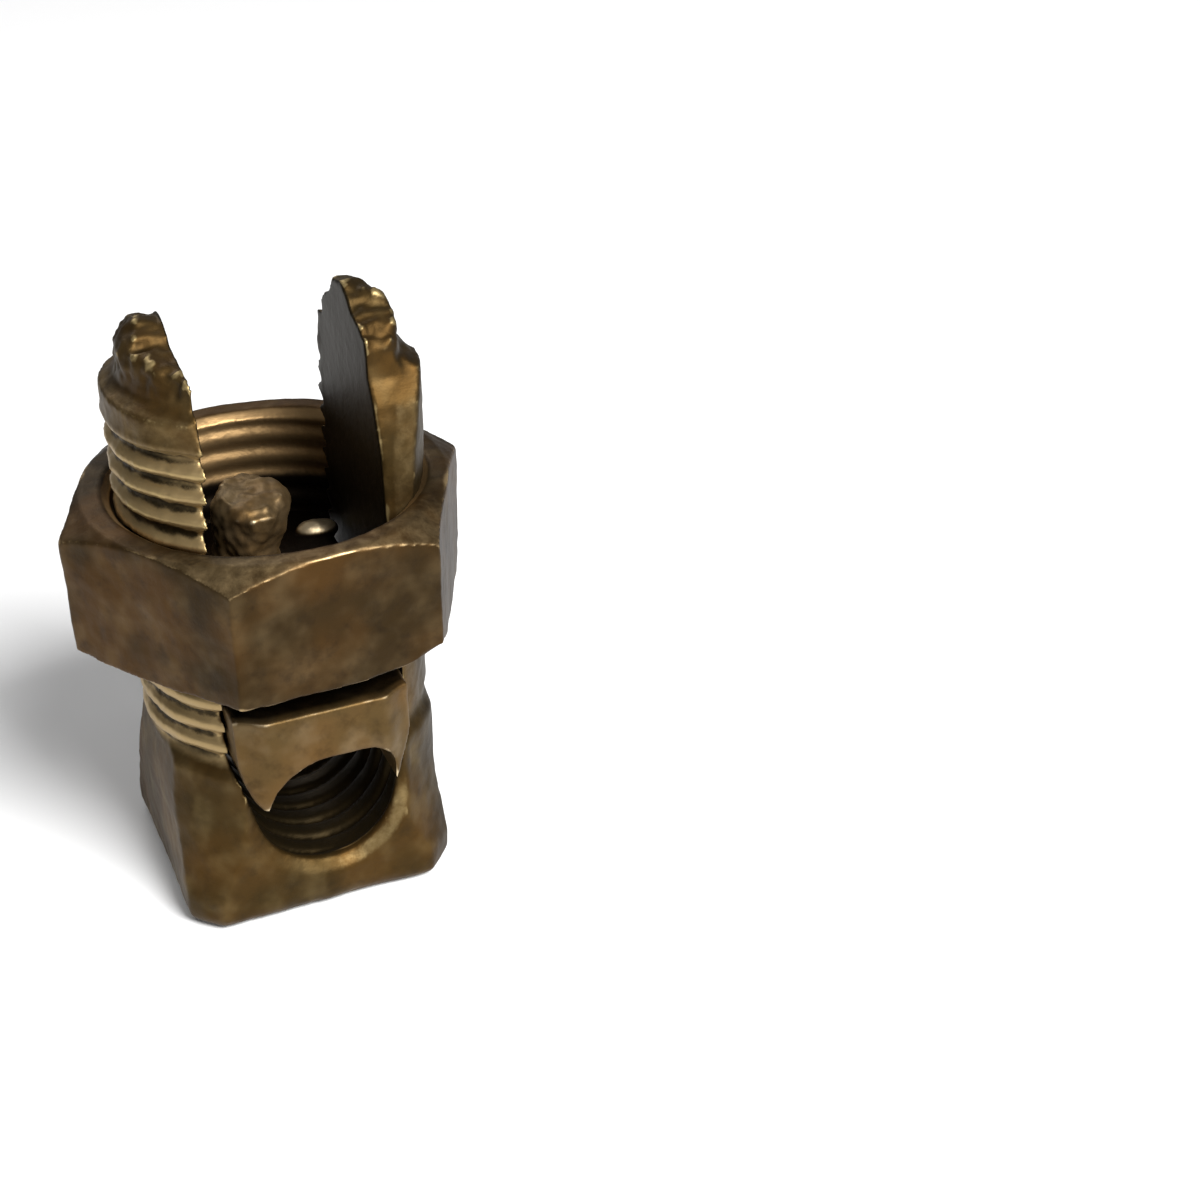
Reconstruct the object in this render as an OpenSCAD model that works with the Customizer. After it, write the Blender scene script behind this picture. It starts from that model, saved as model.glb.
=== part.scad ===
// Split bolt connector: a cast bolt split lengthways by a U-shaped slot,
// a pressure bar that slides in the slot and a hexagon nut that drives the bar
// down on the wires. Millimetres. The bolt stands on its head, Z is the bolt's
// axis and the wires lie along Y.

/* [Head] */
// Width of the square head across its flats, at the base
head_w = 17; // [14:0.5:22]
// Width across the flats where the head meets the shank
head_top_w = 16.4; // [13:0.1:21]
// Height of the head, up to the full shank
head_h = 11; // [8:0.5:16]
// Radius of the head's flared corners, at the base
corner_r = 10.8; // [9:0.1:14]
// Radius of the corners at the top, where they round over into the shank
corner_top_r = 9.3; // [8:0.1:12]
// Height of the upright band at the foot of the corners
foot_band = 2.2; // [1:0.1:4]
// Rounding of the head's lower edge
foot_round = 1; // [0.2:0.1:1.5]
// Plan rounding of the square's corners
plan_round = 2.2; // [0.5:0.1:4]

/* [Shank and legs] */
// Major diameter of the thread
thread_d = 18; // [12:0.5:30]
// Height of the thread's end above the base
thread_top = 33.6; // [26:0.1:50]
// Length of the cone that ends the thread
thread_cone = 1.3; // [0.4:0.1:2]
// Distance of the legs' edges from the middle where their bevels start
bevel_low = 7.3; // [5:0.1:9]
// Distance of the edge with the steep bevel at the thread's end
bevel_high = 4.7; // [3:0.1:7]
// Distance of the edge with the slight bevel at the thread's end
bevel_high_slight = 6.2; // [4:0.1:8]
// Height at which the bevels start
bevel_from = 24.5; // [20:0.1:30]

/* [Wire slot] */
// Width of the slot between the legs
slot_w = 11.2; // [7:0.1:16]
// Radius of the slot's round bottom, where the wire lies
channel_r = 4.4; // [3:0.1:6]
// Height at which the slot's tapered sides reach the full width
slot_full_z = 11.6; // [10:0.1:15]
// Metal left under the slot
floor_t = 3.3; // [2:0.1:6]
// Width of the lead-in round the slot's mouths
mouth = 0.5; // [0.2:0.05:1]

/* [Lugs on the leg ends] */
// Full height of the connector
full_h = 37.2; // [30:0.1:60]
// Width of a lug at its root
lug_w = 8.8; // [4:0.1:10]
// Radius of a lug's round tip
lug_round = 2.1; // [1:0.1:3]
// Radius of a lug's shoulders
lug_shoulder = 1.1; // [0.5:0.1:2]
// Radius of a lug's outer face at its root
lug_r = 8.2; // [6:0.1:9]
// Radius of a lug's outer face at its tip
lug_tip_r = 7.2; // [6:0.1:8.5]

/* [Pressure bar] */
// Clearance between bar and slot on each side
bar_gap = 0.06; // [0.02:0.01:0.3]
// Height of the bar's top face above the base, in its lowest place
bar_top = 15.1; // [12:0.1:20]
// Height of the two horns' tips above the base
horn_z = 8.6; // [6:0.1:12]
// Rounding of the horns' outer corners
horn_round = 0.8; // [0.2:0.1:1.2]
// Height of the arch between the horns
arch_z = 11.7; // [9:0.1:14]
// Radius of the arch on its left side
arch_r = 4; // [3:0.1:6]
// Radius of the arch's tighter corner on its right side
arch_corner_r = 1.9; // [1:0.1:3]
// Length of the bar along the wires
bar_l = 18.8; // [16:0.1:24]
// Rounding of the bar's upright end edges
bar_edge = 0.6; // [0.2:0.1:1.5]
// Length of the riser, the block on the bar that enters the nut
riser_l = 12.4; // [8:0.1:13]
// Height of the riser's top above the base
riser_top = 19.4; // [15.5:0.1:21]
// Radius of the stem that stands up inside the nut
stem_r = 1.5; // [0.8:0.1:2.5]
// Radius of the stem's peened head
stem_head_r = 2.2; // [1:0.1:3]
// Offset of the stem to the left of the bolt's axis
stem_off = 0.9; // [0:0.1:2]
// Height of the stem's head above the base
stem_top = 25.2; // [20:0.1:26]

/* [Nut] */
// Width of the nut across its flats
nut_af = 22; // [16:0.5:36]
// Thickness of the nut
nut_t = 8.8; // [6:0.1:14]
// Height of the nut's lower face above the base
nut_z = 17.3; // [15:0.1:30]
// Turn of the nut about the axis, in degrees
nut_turn = 6; // [-30:1:30]
// Radial clearance between the nut's bore and the thread
nut_gap = 0.05; // [0.02:0.01:0.1]
// Height of the chamfer on the nut's corners
nut_chamfer = 1.1; // [0.4:0.1:2]
// Width of the chamfer at the bore's mouths
bore_chamfer = 0.6; // [0.2:0.1:1.2]

/* [Hidden] */
$fn = 96;
eps = 0.02;
thread_r = thread_d / 2;
slot_r = slot_w / 2;
channel_z = floor_t + channel_r;
taper_rise = slot_full_z - channel_z;
taper_a = atan2(taper_rise, slot_r) - acos(channel_r / norm([slot_r, taper_rise]));
taper_x = channel_r * cos(taper_a);
taper_z = channel_z + channel_r * sin(taper_a);
bar_r = slot_r - bar_gap;
nut_r = thread_r + nut_gap;
nut_corner_r = nut_af / sqrt(3);
shoulder_h = 0.6;
brass = "#8a6a3c";
bronze = "#5c4630";

// ---- Bolt ----

// Half profile of the head's corners: an upright foot, then a hollow flare
// that ends in a small shoulder under the thread.
function flare(i, n) =
    let (t = i / n)
    [corner_top_r + (corner_r - corner_top_r) * pow(1 - t, 1.8),
     foot_band + (head_h - shoulder_h - foot_band) * t];

module corner_turning() {
    rotate_extrude()
        polygon(concat(
            [[0, 0], [corner_r - foot_round, 0],
             [corner_r - 0.3 * foot_round, 0.3 * foot_round],
             [corner_r, foot_round]],
            [for (i = [0:8]) flare(i, 8)],
            [[(corner_top_r + thread_r) / 2, head_h - 0.2 * shoulder_h],
             [thread_r, head_h], [0, head_h]]));
}

module square_plan(w) {
    offset(r = plan_round) square(w - 2 * plan_round, center = true);
}

module head() {
    intersection() {
        corner_turning();
        union() {
            translate([0, 0, foot_round - eps])
                linear_extrude(height = head_h - foot_round + eps,
                               scale = head_top_w / head_w)
                    square_plan(head_w);
            linear_extrude(height = foot_round,
                           scale = head_w / (head_w - 1.2 * foot_round))
                square_plan(head_w - 1.2 * foot_round);
        }
    }
}

// The thread runs out over the head's flats in a short cone.
module shank() {
    translate([0, 0, head_h - 3.2])
        cylinder(h = 2.2 + eps, r1 = head_top_w / 2 - 0.2, r2 = thread_r);
    translate([0, 0, head_h - 1])
        cylinder(h = thread_top - thread_cone - head_h + 1, r = thread_r);
    translate([0, 0, thread_top - thread_cone - eps])
        cylinder(h = thread_cone + eps, r1 = thread_r, r2 = thread_r - 1.1);
}

// Side view of a lug: round tip, sloping shoulders, a foot in the leg.
module lug_outline() {
    rise = full_h - thread_top;
    hull() {
        translate([-lug_w / 2, -1.5]) square([lug_w, 2]);
        translate([0, rise - lug_round]) circle(r = lug_round, $fn = 48);
        for (s = [-1, 1])
            translate([s * (lug_w / 2 - lug_shoulder - 0.4), rise * 0.4])
                circle(r = lug_shoulder, $fn = 32);
    }
}

// The two legs are alike, turned half round from each other.
module lugs() {
    for (turn = [0, 180]) rotate([0, 0, turn])
        intersection() {
            translate([0, 0, thread_top])
                rotate([90, 0, 90])
                    linear_extrude(height = thread_r) lug_outline();
            translate([0, 0, thread_top - 1.5])
                cylinder(h = full_h - thread_top + 1.5 + eps, r1 = lug_r,
                         r2 = lug_tip_r);
        }
}

// A slanted cut along the right leg's far (1) or near (-1) edge.
module edge_bevel(side, high) {
    lean = atan((bevel_low - high) / (thread_top - bevel_from));
    translate([slot_r - 2, side * bevel_low, bevel_from])
        rotate([side * lean, 0, 0])
            translate([0, side > 0 ? 0 : -10, 0])
                cube([thread_r, 10, 2 * (full_h - bevel_from)]);
}

module leg_bevels() {
    for (turn = [0, 180]) rotate([0, 0, turn]) {
        edge_bevel(-1, bevel_high);
        edge_bevel(1, bevel_high_slight);
    }
}

// Flat section of the slot above its round bottom: tapered, then parallel.
module slot_sides() {
    polygon([[-taper_x, taper_z], [taper_x, taper_z], [slot_r, slot_full_z],
             [slot_r, full_h + 1], [-slot_r, full_h + 1],
             [-slot_r, slot_full_z]]);
}

module wire_slot() {
    translate([0, 0, channel_z])
        rotate([90, 0, 0])
            cylinder(h = 4 * thread_r, r = channel_r, center = true);
    rotate([90, 0, 0])
        linear_extrude(height = 4 * thread_r, center = true) slot_sides();
}

// Lead-in cones that ease the slot's round bottom at both faces of the head.
module slot_mouths() {
    for (s = [0, 180]) rotate([0, 0, s])
        translate([0, -head_w / 2 - eps, channel_z])
            rotate([-90, 0, 0])
                cylinder(h = mouth + eps, r1 = channel_r + mouth, r2 = channel_r);
}

module split_bolt() {
    color(brass)
    difference() {
        union() {
            head();
            shank();
            lugs();
        }
        wire_slot();
        slot_mouths();
        leg_bevels();
    }
}

// ---- Pressure bar ----

// Arch over the wire, tighter on its right side.
module arch() {
    hull() {
        translate([0, arch_z - arch_r]) circle(r = arch_r);
        translate([arch_r - arch_corner_r + 0.1, arch_z - arch_corner_r])
            circle(r = arch_corner_r, $fn = 48);
    }
}

// The bar's outline follows the slot, cut off level above and below.
module bar_outline() {
    intersection() {
        offset(delta = -bar_gap)
            union() {
                translate([0, channel_z]) circle(r = channel_r);
                slot_sides();
            }
        translate([-bar_r, horn_z])
            square([2 * bar_r, bar_top - horn_z]);
    }
}

module bar_section() {
    difference() {
        union() {
            offset(r = horn_round) offset(delta = -horn_round) bar_outline();
            intersection() {
                bar_outline();
                translate([-bar_r, slot_full_z])
                    square([2 * bar_r, bar_top - slot_full_z]);
            }
        }
        arch();
    }
}

module bar_plan() {
    offset(r = bar_edge)
        square([2 * bar_r - 2 * bar_edge, bar_l - 2 * bar_edge], center = true);
}

// Block between the legs that centres the bar under the nut.
module riser() {
    w = 2 * bar_r - 0.4;
    translate([0, 0, bar_top - eps])
        linear_extrude(height = riser_top - bar_top + eps, scale = 0.96)
            offset(r = bar_edge)
                square([w - 2 * bar_edge, riser_l - 2 * bar_edge], center = true);
}

// Stem with a spread foot and a head that was hammered over.
module stem() {
    h = stem_top - riser_top;
    flat_r = 0.55 * stem_head_r;
    translate([-stem_off, 0, riser_top - eps])
        rotate_extrude($fn = 48)
            polygon([[0, 0], [stem_head_r, 0], [stem_r, 0.22 * h],
                     [stem_r, 0.6 * h], [stem_head_r, 0.74 * h],
                     [stem_head_r, 0.86 * h], [flat_r, h], [0, h]]);
}

module pressure_bar() {
    color(brass) {
        intersection() {
            rotate([90, 0, 0])
                linear_extrude(height = bar_l, center = true) bar_section();
            linear_extrude(height = bar_top + 1) bar_plan();
        }
        riser();
        stem();
    }
}

// ---- Nut ----

// Ring section: chamfered corners outside, lead-in chamfers inside.
module nut_turning() {
    r0 = nut_af / 2 - 0.1;
    r1 = nut_corner_r + 1;
    rise = nut_chamfer * (r1 - r0) / (nut_corner_r - r0);
    b = bore_chamfer;
    rotate_extrude()
        polygon([[nut_r + b, 0], [r0, 0], [r1, rise], [r1, nut_t - rise],
                 [r0, nut_t], [nut_r + b, nut_t], [nut_r, nut_t - b],
                 [nut_r, b]]);
}

module hex_nut() {
    color(bronze)
    translate([0, 0, nut_z])
        intersection() {
            rotate([0, 0, nut_turn])
                translate([0, 0, -1])
                    cylinder(h = nut_t + 2, r = nut_corner_r, $fn = 6);
            nut_turning();
        }
}

split_bolt();
pressure_bar();
hex_nut();
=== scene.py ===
"""Looks of a split bolt connector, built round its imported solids.

The connector is three castings: a split bolt that stands on its square head,
a pressure bar that slides between the bolt's legs, and a hexagon nut. Each
one is modelled here in full, with its thread, ribs, worn edges and cast skin,
and takes the place of its plain solid. The castings' sizes are in millimetres
and are turned into metres where meshes are made. The studio's are in metres,
apart from the camera's place.
"""

import logging
import math
from dataclasses import dataclass, field
from enum import Enum

import bpy
import numpy as np
from mathutils import Matrix, Vector, noise


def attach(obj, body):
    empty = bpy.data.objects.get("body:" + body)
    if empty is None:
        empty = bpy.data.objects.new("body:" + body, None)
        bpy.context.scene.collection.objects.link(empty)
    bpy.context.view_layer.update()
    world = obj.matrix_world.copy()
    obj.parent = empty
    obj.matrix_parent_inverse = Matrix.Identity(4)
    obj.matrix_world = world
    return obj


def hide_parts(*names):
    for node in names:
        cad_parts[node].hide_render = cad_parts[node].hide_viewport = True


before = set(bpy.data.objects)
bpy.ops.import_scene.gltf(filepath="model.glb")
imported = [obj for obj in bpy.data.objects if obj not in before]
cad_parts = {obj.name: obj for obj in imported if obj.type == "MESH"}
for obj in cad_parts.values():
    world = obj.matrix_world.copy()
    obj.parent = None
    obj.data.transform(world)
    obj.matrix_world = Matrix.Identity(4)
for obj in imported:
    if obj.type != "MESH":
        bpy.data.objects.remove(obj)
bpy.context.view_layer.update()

Piece = bpy.types.Object
Socket = bpy.types.NodeSocket
Pair = tuple[float, float]
Point = tuple[float, float, float]
Colour = tuple[float, float, float]
Source = Socket | float | Colour

MM = 0.001
POINT_MERGE = 0.002  # points of a turning closer than this are one, in mm
THREAD_MERGE = 0.004  # the same for a wound thread, in mm
CUT_TOLERANCE = 0.0001  # how near a plane a point counts as on it, in mm
ROUNDING_FACES = 4  # faces across a rounded edge
LOG = logging.getLogger("split_bolt_connector")


class Cut(Enum):
    """How one solid acts on another."""

    AWAY = "DIFFERENCE"
    KEEP = "INTERSECT"


class Along(Enum):
    """The axis that a section is drawn out along, and the plane it lies in."""

    X = (1, 2, 0)
    Y = (0, 2, 1)


# ---------------------------------------------------------------- bench


def deselect() -> None:
    """Leaves object mode and deselects every object."""
    if bpy.context.object is not None and bpy.context.object.mode != "OBJECT":
        bpy.ops.object.mode_set(mode="OBJECT")
    bpy.ops.object.select_all(action="DESELECT")


def pick(piece: Piece) -> None:
    """Makes a piece the only selected and the active object.

    Args:
        piece: The piece to select.
    """
    deselect()
    piece.select_set(True)
    bpy.context.view_layer.objects.active = piece


def open_mesh(piece: Piece) -> None:
    """Opens a piece's mesh for modelling, with all of it selected.

    Args:
        piece: The piece to model.
    """
    pick(piece)
    bpy.ops.object.mode_set(mode="EDIT")
    bpy.ops.mesh.select_all(action="SELECT")


def close_solid() -> None:
    """Turns all faces of the open mesh outwards and closes it."""
    bpy.ops.mesh.select_all(action="SELECT")
    bpy.ops.mesh.normals_make_consistent(inside=False)
    bpy.ops.object.mode_set(mode="OBJECT")


def settle(piece: Piece) -> None:
    """Moves a piece's place, turn and scale into its mesh."""
    pick(piece)
    bpy.ops.object.transform_apply(location=True, rotation=True, scale=True)


def apply_all(piece: Piece) -> None:
    """Applies all of a piece's modifiers in order."""
    pick(piece)
    for modifier in list(piece.modifiers):
        bpy.ops.object.modifier_apply(modifier=modifier.name)


def combine(target: Piece, tool: Piece, how: Cut
) -> Piece:
    """Cuts by a tool solid, or keeps what lies in it, and removes the tool.

    Args:
        target: The solid that is changed.
        tool: The solid it is changed by, removed afterwards.
        how: The kind of change.

    Returns:
        The changed solid.
    """
    step = target.modifiers.new(how.name.lower(), "BOOLEAN")
    step.operation = how.value
    step.solver = "EXACT"
    step.object = tool
    apply_all(target)
    bpy.data.objects.remove(tool, do_unlink=True)
    return target


def fuse(pieces: list[Piece], name: str) -> Piece:
    """Joins several overlapping solids into one object, without cutting.

    Args:
        pieces: The solids, each already at its place.
        name: The name of the joined object.

    Returns:
        The joined object.
    """
    deselect()
    for piece in pieces:
        piece.select_set(True)
    bpy.context.view_layer.objects.active = pieces[0]
    bpy.ops.object.join()
    joined = bpy.context.object
    joined.name = joined.data.name = name
    return joined


def outline(name: str, points: list[Point]) -> Piece:
    """Draws an open chain of edges through points, by extruding a vertex.

    Args:
        name: The name of the new object.
        points: The chain's corners in millimetres.

    Returns:
        The chain as a mesh object.
    """
    deselect()
    bpy.ops.mesh.primitive_plane_add(size=MM, location=(0, 0, 0))
    chain = bpy.context.object
    chain.name = chain.data.name = name
    open_mesh(chain)
    bpy.ops.mesh.merge(type="CENTER")
    bpy.ops.transform.translate(value=tuple(c * MM for c in points[0]))
    for before, after in zip(points, points[1:]):
        step = tuple((b - a) * MM for a, b in zip(before, after))
        bpy.ops.mesh.extrude_region_move(TRANSFORM_OT_translate={"value": step})
    bpy.ops.object.mode_set(mode="OBJECT")
    return chain


def lathe(name: str, half: list[Pair], steps: int = 96
) -> Piece:
    """Turns a half section of (radius, height) about Z into a closed solid.

    Args:
        name: The name of the new object.
        half: The section from the axis out and back to the axis.
        steps: The number of sides of the turning.

    Returns:
        The turned solid.
    """
    turned = outline(name, [(r, 0.0, z) for r, z in half])
    open_mesh(turned)
    bpy.ops.mesh.spin(steps=steps, angle=math.tau, center=(0, 0, 0), axis=(0, 0, 1))
    bpy.ops.mesh.select_all(action="SELECT")
    bpy.ops.mesh.remove_doubles(threshold=POINT_MERGE * MM)
    close_solid()
    return turned


def block(name: str, low: Point, high: Point, edge: float = 0.0) -> Piece:
    """Adds a box between two corners, with rounded edges.

    Args:
        name: The name of the new object.
        low: The lowest corner in millimetres.
        high: The highest corner in millimetres.
        edge: The rounding of all edges in millimetres, 0 for none.

    Returns:
        The box.
    """
    deselect()
    centre = tuple((a + b) / 2 * MM for a, b in zip(low, high))
    bpy.ops.mesh.primitive_cube_add(size=1, location=centre)
    box = bpy.context.object
    box.name = box.data.name = name
    box.scale = tuple((b - a) * MM for a, b in zip(low, high))
    settle(box)
    if edge > 0:
        open_mesh(box)
        bpy.ops.mesh.bevel(offset=edge * MM, segments=ROUNDING_FACES, affect="EDGES")
        bpy.ops.object.mode_set(mode="OBJECT")
    return box


def arc(centre: Pair, radius: float, start: float, end: float, steps: int) -> list[Pair]:
    """Lists points along an arc.

    Args:
        centre: The arc's centre in millimetres.
        radius: The arc's radius in millimetres.
        start: The angle of the first point in degrees.
        end: The angle of the last point in degrees.
        steps: The number of stretches between points.

    Returns:
        The points, both ends among them.
    """
    angles = np.radians(np.linspace(start, end, steps + 1))
    u, v = centre
    return [(u + radius * math.cos(a), v + radius * math.sin(a)) for a in angles]


def prism(name: str, section: list[Pair], along: Along, low: float, high: float) -> Piece:
    """Draws a flat section out along X or Y into a closed solid.

    Args:
        name: The name of the new object.
        section: The section's corners in millimetres, in order round it.
        along: The direction in which it is drawn out.
        low: Where the solid begins in millimetres.
        high: Where the solid ends in millimetres.

    Returns:
        The solid.
    """
    first, second, depth = along.value

    def place(corner: Pair) -> Point:
        """Puts a corner of the section at the solid's near end.

        Args:
            corner: The corner in the section's plane, in millimetres.

        Returns:
            The same corner in space, in millimetres.
        """
        spot = [0.0, 0.0, 0.0]
        spot[first], spot[second], spot[depth] = corner[0], corner[1], low
        return tuple(spot)

    solid = outline(name, [place(corner) for corner in section])
    open_mesh(solid)
    bpy.ops.mesh.edge_face_add()
    bpy.ops.mesh.select_all(action="SELECT")
    reach = [0.0, 0.0, 0.0]
    reach[depth] = (high - low) * MM
    bpy.ops.mesh.extrude_region_move(TRANSFORM_OT_translate={"value": tuple(reach)})
    close_solid()
    return solid


def turn(piece: Piece, angle: float, axis: str, about: Point
) -> None:
    """Turns a piece about a point in millimetres and settles it.

    Args:
        piece: The piece to turn.
        angle: The angle in degrees, by the right-hand rule.
        axis: One of X, Y or Z.
        about: The centre of the turn in millimetres.
    """
    centre = Vector(about) * MM
    spin = Matrix.Rotation(math.radians(angle), 4, axis)
    place = Matrix.Translation(centre) @ spin @ Matrix.Translation(-centre)
    piece.matrix_world = place @ piece.matrix_world
    settle(piece)


def skin(piece: Piece, voxel: float, smooth: int) -> None:
    """Gives a solid one even skin, so that all its edges are softly rounded.

    Args:
        piece: The solid, which may be several overlapping shells.
        voxel: The size of the skin's faces in millimetres.
        smooth: The number of smoothing passes over the skin.
    """
    cover = piece.modifiers.new("skin", "REMESH")
    cover.mode = "VOXEL"
    cover.voxel_size = voxel * MM
    cover.use_smooth_shade = True
    apply_all(piece)
    if smooth:
        calm = piece.modifiers.new("calm", "SMOOTH")
        calm.factor = 0.5
        calm.iterations = smooth
        apply_all(piece)


def points_of(piece: Piece) -> np.ndarray:
    """Reads a piece's vertices in millimetres.

    Args:
        piece: The piece to read.

    Returns:
        The places, one row each.
    """
    flat = np.empty(len(piece.data.vertices) * 3)
    piece.data.vertices.foreach_get("co", flat)
    return flat.reshape(-1, 3) / MM


def normals_of(piece: Piece) -> np.ndarray:
    """Reads a piece's vertex normals.

    Args:
        piece: The piece to read.

    Returns:
        The normals, one row each.
    """
    flat = np.empty(len(piece.data.vertices) * 3)
    piece.data.vertex_normals.foreach_get("vector", flat)
    return flat.reshape(-1, 3)


def move_points(piece: Piece, points: np.ndarray) -> None:
    """Puts a piece's vertices at new places.

    Args:
        piece: The piece to change.
        points: The new places in millimetres, one row each.
    """
    piece.data.vertices.foreach_set("co", (points * MM).ravel())
    piece.data.update()


def ridge_depth(piece: Piece, passes: int) -> np.ndarray:
    """Measures how far each vertex stands out of its surroundings.

    Args:
        piece: The piece to measure.
        passes: The number of averaging passes, which sets the reach.

    Returns:
        One value a vertex in millimetres, positive on edges that stand out.
    """
    points = points_of(piece)
    edges = np.empty(len(piece.data.edges) * 2, dtype=np.int64)
    piece.data.edges.foreach_get("vertices", edges)
    first, second = edges.reshape(-1, 2).T
    count = np.bincount(np.r_[first, second], minlength=len(points)).astype(float)
    count[count == 0] = 1
    mean = points.copy()
    for _ in range(passes):
        total = np.zeros_like(mean)
        for k in range(3):
            total[:, k] = np.bincount(
                first, mean[second, k], len(points)
            ) + np.bincount(second, mean[first, k], len(points))
        mean = 0.5 * mean + 0.5 * total / count[:, None]
    return np.einsum("ij,ij->i", points - mean, normals_of(piece))


def paint(piece: Piece, name: str, values: np.ndarray) -> None:
    """Stores one value a vertex, for the finishes to read.

    Args:
        piece: The piece to mark.
        name: The attribute's name.
        values: The values, one a vertex.
    """
    layer = piece.data.attributes.get(name) or piece.data.attributes.new(
        name, "FLOAT", "POINT"
    )
    layer.data.foreach_set("value", values.astype(np.float32))


def ramp(values: np.ndarray, low: float, high: float) -> np.ndarray:
    """Maps values smoothly from low to high onto 0 to 1."""
    t = np.clip((values - low) / (high - low), 0, 1)
    return t * t * (3 - 2 * t)


@dataclass(frozen=True)
class CastSkin:
    """The uneven skin that a sand mould leaves.

    Attributes:
        swell: Height of the broad unevenness in millimetres.
        swell_size: Size of the broad unevenness in millimetres.
        grain: Height of the sand grain in millimetres.
        grain_size: Size of the sand grain in millimetres.
        seed: Which part of the pattern is used.
    """

    swell: float
    swell_size: float
    grain: float
    grain_size: float
    seed: float

    def press(self, piece: Piece, share: np.ndarray) -> None:
        """Presses the skin into a piece.

        Args:
            piece: The piece, already finely meshed.
            share: How much of the skin each vertex takes, from 0 to 1.
        """
        points = points_of(piece)
        normals = normals_of(piece)
        shift = Vector((self.seed, 2.7 * self.seed, -1.3 * self.seed))
        height = np.empty(len(points))
        for i, p in enumerate(points):
            where = Vector(p) + shift
            broad = noise.noise(where / self.swell_size)
            fine = noise.noise(where / self.grain_size) if self.grain else 0.0
            height[i] = self.swell * broad + self.grain * fine
        move_points(piece, points + normals * (height * share)[:, None])


@dataclass(frozen=True)
class ScrewThread:
    """A right-hand V thread.

    Attributes:
        crest: Radius over the crests in millimetres.
        root: Radius at the roots in millimetres.
        pitch: Distance between crests in millimetres.
        steps: Number of faces round one turn.
        crest_round: How much lower the crest's shoulders are, in millimetres.
        flank: Where a flank leaves the root, as a share of the pitch.
        shoulder: Where it meets the crest's shoulder, as a share of the pitch.
        flat: Where the crest's flat begins, as a share of the pitch.
    """

    crest: float
    root: float
    pitch: float
    steps: int = 84
    crest_round: float = 0.05
    flank: float = 0.10
    shoulder: float = 0.38
    flat: float = 0.44

    def rod(self, name: str, low: float, high: float) -> Piece:
        """Makes a threaded rod along Z.

        Args:
            name: The name of the new object.
            low: Height of the rod's lower end in millimetres.
            high: Height of the rod's upper end in millimetres.

        Returns:
            The rod, closed at both ends.
        """
        p = self.pitch
        start = (math.floor(low / p) - 1) * p
        turns = math.ceil((high - start) / p) + 1
        rising = [
            (self.root, 0.0),
            (self.root, self.flank),
            (self.crest - self.crest_round, self.shoulder),
            (self.crest, self.flat),
        ]
        falling = [(r, 1 - share) for r, share in reversed(rising)]
        tooth = [(r, share * p) for r, share in rising + falling]
        rod = outline(name, [(r, 0.0, start + z) for r, z in tooth])
        wind = rod.modifiers.new("wind", "SCREW")
        wind.axis = "Z"
        wind.angle = math.tau
        wind.screw_offset = p * MM
        wind.iterations = turns
        wind.steps = wind.render_steps = self.steps
        wind.use_merge_vertices = True
        wind.merge_threshold = THREAD_MERGE * MM
        apply_all(rod)
        open_mesh(rod)
        bpy.ops.mesh.remove_doubles(threshold=THREAD_MERGE * MM)
        for height, upward in ((low, False), (high, True)):
            bpy.ops.mesh.select_all(action="SELECT")
            bpy.ops.mesh.bisect(
                plane_co=(0, 0, height * MM),
                plane_no=(0, 0, 1),
                use_fill=True,
                clear_inner=not upward,
                clear_outer=upward,
                threshold=CUT_TOLERANCE * MM,
            )
        close_solid()
        return rod


# -------------------------------------------------------------- finishes


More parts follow.
